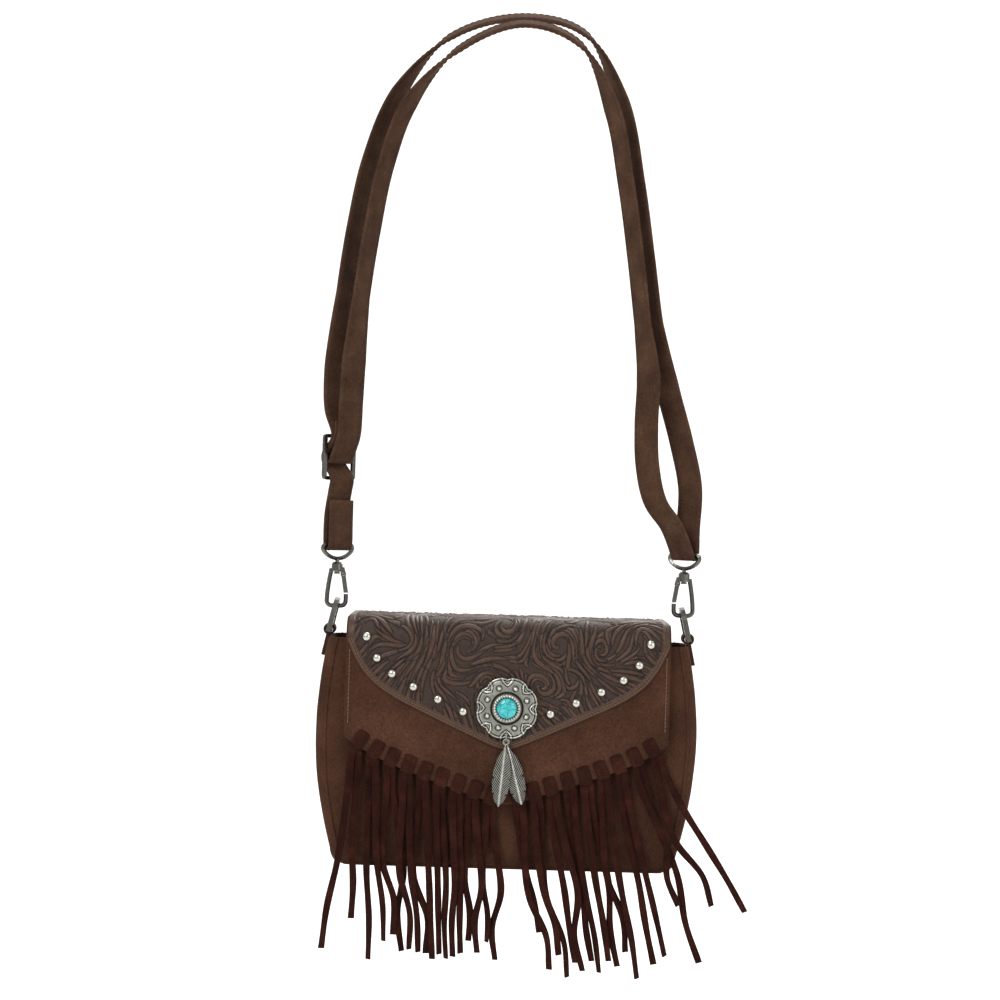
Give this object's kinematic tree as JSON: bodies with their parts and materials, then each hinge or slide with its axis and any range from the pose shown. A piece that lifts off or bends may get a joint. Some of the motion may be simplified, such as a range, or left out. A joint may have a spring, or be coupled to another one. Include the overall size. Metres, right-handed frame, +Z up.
{
  "type": "fringed suede shoulder bag",
  "caption": "Small suede shoulder bag with a tooled fold-over flap, lobed concho with feather charms, laced fringe along the flap's edge and a clip-on strap folded double.",
  "frame": {"origin": "the point under the strap's top where a shoulder carries it", "axes": "+Z up along the hanging strap, -Y to the flap's front, +X to the right as seen from the front"},
  "size_m": [0.2932, 0.073, 0.6484],
  "materials": {
    "suede": "napped suede",
    "tooled_leather": "tooled, antiqued",
    "lace_suede": "napped suede",
    "strap_leather": "matt",
    "lining_fabric": "woven",
    "antique_silver": "antiqued",
    "gunmetal": "dark plated",
    "turquoise": "polished"
  },
  "bodies": {
    "bag": {"front_panel": "suede", "back_panel": "suede", "gusset": "suede", "lining": "lining_fabric", "side_tab_left": "tooled_leather", "side_tab_right": "tooled_leather", "snap_socket": "gunmetal", "strap": "strap_leather", "slider": "gunmetal", "strap_loop_left": "gunmetal", "strap_loop_right": "gunmetal"},
    "flap": {"flap_panel": "suede", "flap_lining": "lining_fabric", "tooled_overlay": "tooled_leather", "stud_01": "antique_silver", "stud_02": "antique_silver", "stud_03": "antique_silver", "stud_04": "antique_silver", "stud_05": "antique_silver", "stud_06": "antique_silver", "stud_07": "antique_silver", "stud_08": "antique_silver", "stud_09": "antique_silver", "stud_10": "antique_silver", "stud_11": "antique_silver", "stud_12": "antique_silver", "concho_plate": "antique_silver", "turquoise_stone": "turquoise", "concho_screw": "gunmetal", "snap_stud": "gunmetal", "jump_ring": "antique_silver"},
    "feather_left": {"feather_left": "antique_silver"},
    "feather_right": {"feather_right": "antique_silver"},
    "d_ring_left": {"d_ring_left": "gunmetal"},
    "d_ring_right": {"d_ring_right": "gunmetal"},
    "clip_left": {"clip_left": "gunmetal", "gate_pin_left": "gunmetal"},
    "clip_right": {"clip_right": "gunmetal", "gate_pin_right": "gunmetal"},
    "gate_left": {"gate_left": "gunmetal"},
    "gate_right": {"gate_right": "gunmetal"},
    "fringe_lace_01": {"fringe_lace_01": "lace_suede"},
    "fringe_lace_02": {"fringe_lace_02": "lace_suede"},
    "fringe_lace_03": {"fringe_lace_03": "lace_suede"},
    "fringe_lace_04": {"fringe_lace_04": "lace_suede"},
    "fringe_lace_05": {"fringe_lace_05": "lace_suede"},
    "fringe_lace_06": {"fringe_lace_06": "lace_suede"},
    "fringe_lace_07": {"fringe_lace_07": "lace_suede"},
    "fringe_lace_08": {"fringe_lace_08": "lace_suede"},
    "fringe_lace_09": {"fringe_lace_09": "lace_suede"},
    "fringe_lace_10": {"fringe_lace_10": "lace_suede"},
    "fringe_lace_11": {"fringe_lace_11": "lace_suede"},
    "fringe_lace_12": {"fringe_lace_12": "lace_suede"},
    "fringe_lace_13": {"fringe_lace_13": "lace_suede"},
    "fringe_lace_14": {"fringe_lace_14": "lace_suede"},
    "fringe_lace_15": {"fringe_lace_15": "lace_suede"},
    "fringe_lace_16": {"fringe_lace_16": "lace_suede"},
    "fringe_lace_17": {"fringe_lace_17": "lace_suede"},
    "fringe_lace_18": {"fringe_lace_18": "lace_suede"}
  },
  "joints": [
    {"name": "flap_hinge", "type": "hinge", "parent": "bag", "child": "flap", "pos_m": [0, 0.028, -0.4061], "axis": [-1, 0, 0], "range_deg": [0, 60]},
    {"name": "feather_left_swing", "type": "hinge", "parent": "flap", "child": "feather_left", "pos_m": [0, -0.04135, -0.48245], "axis": [0, 1, 0], "range_deg": [-22, 22]},
    {"name": "feather_right_swing", "type": "hinge", "parent": "flap", "child": "feather_right", "pos_m": [0, -0.04135, -0.48245], "axis": [0, 1, 0], "range_deg": [-22, 22]},
    {"name": "d_ring_left_swing", "type": "hinge", "parent": "bag", "child": "d_ring_left", "pos_m": [-0.1209, 0, -0.41375], "axis": [0, 1, 0], "range_deg": [-3, 3]},
    {"name": "clip_left_swivel", "type": "hinge", "parent": "bag", "child": "clip_left", "pos_m": [-0.11732, 0, -0.39825], "axis": [0, 0, 1], "range_deg": [-15, 15]},
    {"name": "gate_left_press", "type": "hinge", "parent": "clip_left", "child": "gate_left", "pos_m": [-0.11292, 0, -0.37705], "axis": [0, 1, 0], "range_deg": [0, 15], "stiffness_Nm_per_rad": 0.02},
    {"name": "d_ring_right_swing", "type": "hinge", "parent": "bag", "child": "d_ring_right", "pos_m": [0.1209, 0, -0.41375], "axis": [0, 1, 0], "range_deg": [-3, 3]},
    {"name": "clip_right_swivel", "type": "hinge", "parent": "bag", "child": "clip_right", "pos_m": [0.11732, 0, -0.39825], "axis": [0, 0, 1], "range_deg": [-15, 15]},
    {"name": "gate_right_press", "type": "hinge", "parent": "clip_right", "child": "gate_right", "pos_m": [0.11292, 0, -0.37705], "axis": [0, -1, 0], "range_deg": [0, 15], "stiffness_Nm_per_rad": 0.02},
    {"name": "fringe_lace_01_hang", "type": "hinge", "parent": "flap", "child": "fringe_lace_01", "pos_m": [-0.0095, -0.034, -0.52322], "axis": [-1, 0, 0], "range_deg": [-60, 0], "deforming": ["fringe_lace_01"]},
    {"name": "fringe_lace_02_hang", "type": "hinge", "parent": "flap", "child": "fringe_lace_02", "pos_m": [-0.02065, -0.034, -0.51973], "axis": [-1, 0, 0], "range_deg": [-60, 0], "deforming": ["fringe_lace_02"]},
    {"name": "fringe_lace_03_hang", "type": "hinge", "parent": "flap", "child": "fringe_lace_03", "pos_m": [-0.0318, -0.034, -0.51603], "axis": [-1, 0, 0], "range_deg": [-60, 0], "deforming": ["fringe_lace_03"]},
    {"name": "fringe_lace_04_hang", "type": "hinge", "parent": "flap", "child": "fringe_lace_04", "pos_m": [-0.04295, -0.034, -0.51226], "axis": [-1, 0, 0], "range_deg": [-60, 0], "deforming": ["fringe_lace_04"]},
    {"name": "fringe_lace_05_hang", "type": "hinge", "parent": "flap", "child": "fringe_lace_05", "pos_m": [-0.0541, -0.034, -0.5084], "axis": [-1, 0, 0], "range_deg": [-60, 0], "deforming": ["fringe_lace_05"]},
    {"name": "fringe_lace_06_hang", "type": "hinge", "parent": "flap", "child": "fringe_lace_06", "pos_m": [-0.06525, -0.034, -0.50436], "axis": [-1, 0, 0], "range_deg": [-60, 0], "deforming": ["fringe_lace_06"]},
    {"name": "fringe_lace_07_hang", "type": "hinge", "parent": "flap", "child": "fringe_lace_07", "pos_m": [-0.0764, -0.034, -0.49995], "axis": [-1, 0, 0], "range_deg": [-60, 0], "deforming": ["fringe_lace_07"]},
    {"name": "fringe_lace_08_hang", "type": "hinge", "parent": "flap", "child": "fringe_lace_08", "pos_m": [-0.08755, -0.034, -0.49487], "axis": [-1, 0, 0], "range_deg": [-60, 0], "deforming": ["fringe_lace_08"]},
    {"name": "fringe_lace_09_hang", "type": "hinge", "parent": "flap", "child": "fringe_lace_09", "pos_m": [-0.0987, -0.034, -0.48863], "axis": [-1, 0, 0], "range_deg": [-60, 0], "deforming": ["fringe_lace_09"]},
    {"name": "fringe_lace_10_hang", "type": "hinge", "parent": "flap", "child": "fringe_lace_10", "pos_m": [0.0095, -0.034, -0.52322], "axis": [-1, 0, 0], "range_deg": [-60, 0], "deforming": ["fringe_lace_10"]},
    {"name": "fringe_lace_11_hang", "type": "hinge", "parent": "flap", "child": "fringe_lace_11", "pos_m": [0.02065, -0.034, -0.51973], "axis": [-1, 0, 0], "range_deg": [-60, 0], "deforming": ["fringe_lace_11"]},
    {"name": "fringe_lace_12_hang", "type": "hinge", "parent": "flap", "child": "fringe_lace_12", "pos_m": [0.0318, -0.034, -0.51603], "axis": [-1, 0, 0], "range_deg": [-60, 0], "deforming": ["fringe_lace_12"]},
    {"name": "fringe_lace_13_hang", "type": "hinge", "parent": "flap", "child": "fringe_lace_13", "pos_m": [0.04295, -0.034, -0.51226], "axis": [-1, 0, 0], "range_deg": [-60, 0], "deforming": ["fringe_lace_13"]},
    {"name": "fringe_lace_14_hang", "type": "hinge", "parent": "flap", "child": "fringe_lace_14", "pos_m": [0.0541, -0.034, -0.5084], "axis": [-1, 0, 0], "range_deg": [-60, 0], "deforming": ["fringe_lace_14"]},
    {"name": "fringe_lace_15_hang", "type": "hinge", "parent": "flap", "child": "fringe_lace_15", "pos_m": [0.06525, -0.034, -0.50436], "axis": [-1, 0, 0], "range_deg": [-60, 0], "deforming": ["fringe_lace_15"]},
    {"name": "fringe_lace_16_hang", "type": "hinge", "parent": "flap", "child": "fringe_lace_16", "pos_m": [0.0764, -0.034, -0.49995], "axis": [-1, 0, 0], "range_deg": [-60, 0], "deforming": ["fringe_lace_16"]},
    {"name": "fringe_lace_17_hang", "type": "hinge", "parent": "flap", "child": "fringe_lace_17", "pos_m": [0.08755, -0.034, -0.49487], "axis": [-1, 0, 0], "range_deg": [-60, 0], "deforming": ["fringe_lace_17"]},
    {"name": "fringe_lace_18_hang", "type": "hinge", "parent": "flap", "child": "fringe_lace_18", "pos_m": [0.0987, -0.034, -0.48863], "axis": [-1, 0, 0], "range_deg": [-60, 0], "deforming": ["fringe_lace_18"]}
  ],
  "couplings": [
    {"joint": "fringe_lace_01_hang", "follows": "flap_hinge", "ratio": -1},
    {"joint": "fringe_lace_02_hang", "follows": "flap_hinge", "ratio": -1},
    {"joint": "fringe_lace_03_hang", "follows": "flap_hinge", "ratio": -1},
    {"joint": "fringe_lace_04_hang", "follows": "flap_hinge", "ratio": -1},
    {"joint": "fringe_lace_05_hang", "follows": "flap_hinge", "ratio": -1},
    {"joint": "fringe_lace_06_hang", "follows": "flap_hinge", "ratio": -1},
    {"joint": "fringe_lace_07_hang", "follows": "flap_hinge", "ratio": -1},
    {"joint": "fringe_lace_08_hang", "follows": "flap_hinge", "ratio": -1},
    {"joint": "fringe_lace_09_hang", "follows": "flap_hinge", "ratio": -1},
    {"joint": "fringe_lace_10_hang", "follows": "flap_hinge", "ratio": -1},
    {"joint": "fringe_lace_11_hang", "follows": "flap_hinge", "ratio": -1},
    {"joint": "fringe_lace_12_hang", "follows": "flap_hinge", "ratio": -1},
    {"joint": "fringe_lace_13_hang", "follows": "flap_hinge", "ratio": -1},
    {"joint": "fringe_lace_14_hang", "follows": "flap_hinge", "ratio": -1},
    {"joint": "fringe_lace_15_hang", "follows": "flap_hinge", "ratio": -1},
    {"joint": "fringe_lace_16_hang", "follows": "flap_hinge", "ratio": -1},
    {"joint": "fringe_lace_17_hang", "follows": "flap_hinge", "ratio": -1},
    {"joint": "fringe_lace_18_hang", "follows": "flap_hinge", "ratio": -1}
  ]
}
